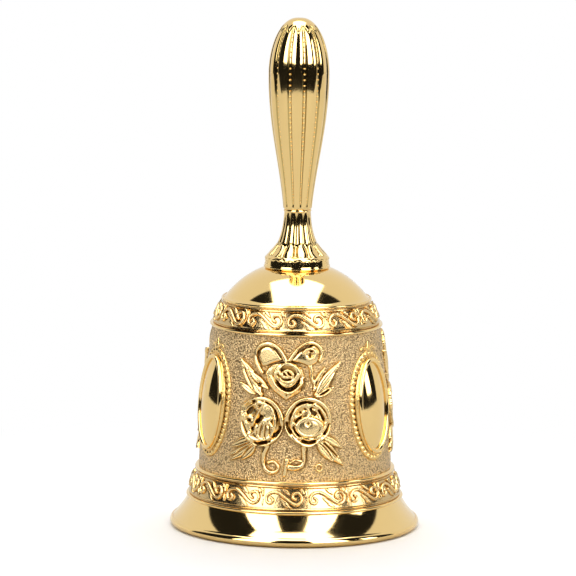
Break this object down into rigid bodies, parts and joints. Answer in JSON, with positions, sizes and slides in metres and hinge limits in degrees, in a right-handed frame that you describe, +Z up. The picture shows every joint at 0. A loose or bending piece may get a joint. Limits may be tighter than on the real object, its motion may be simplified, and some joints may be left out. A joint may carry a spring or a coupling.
{
  "type": "hand bell",
  "caption": "Ornate gilt hand bell with a flared cup, a ribbed handle on a petalled foot, and a clapper that swings from a link.",
  "frame": {"origin": "centre of the circle that the lip stands on", "axes": "+Z up through the handle, -Y towards the front rose spray, +X to the right seen from the front"},
  "size_m": [0.0664, 0.0664, 0.1354],
  "materials": {
    "gilt": "polished gold plate, stippled ground",
    "plated_steel": "bright zinc plate",
    "clapper_brass": "turned and polished"
  },
  "bodies": {
    "bell": {"bell_cup": "gilt", "handle_foot": "gilt", "handle_grip": "gilt", "eye_bolt": "plated_steel", "crown_washer": "plated_steel", "lock_washer": "plated_steel", "crown_nut": "plated_steel"},
    "link": {"clapper_link": "plated_steel"},
    "clapper": {"clapper_shank": "plated_steel", "clapper_ball": "clapper_brass", "clapper_nut": "plated_steel"}
  },
  "joints": [
    {"name": "link_swing", "type": "hinge", "parent": "bell", "child": "link", "pos_m": [0, 0, 0.0541], "axis": [1, 0, 0], "range_deg": [-22, 22]},
    {"name": "clapper_swing", "type": "hinge", "parent": "link", "child": "clapper", "pos_m": [0, 0, 0.04675], "axis": [0, 1, 0], "range_deg": [-8, 8]}
  ]
}
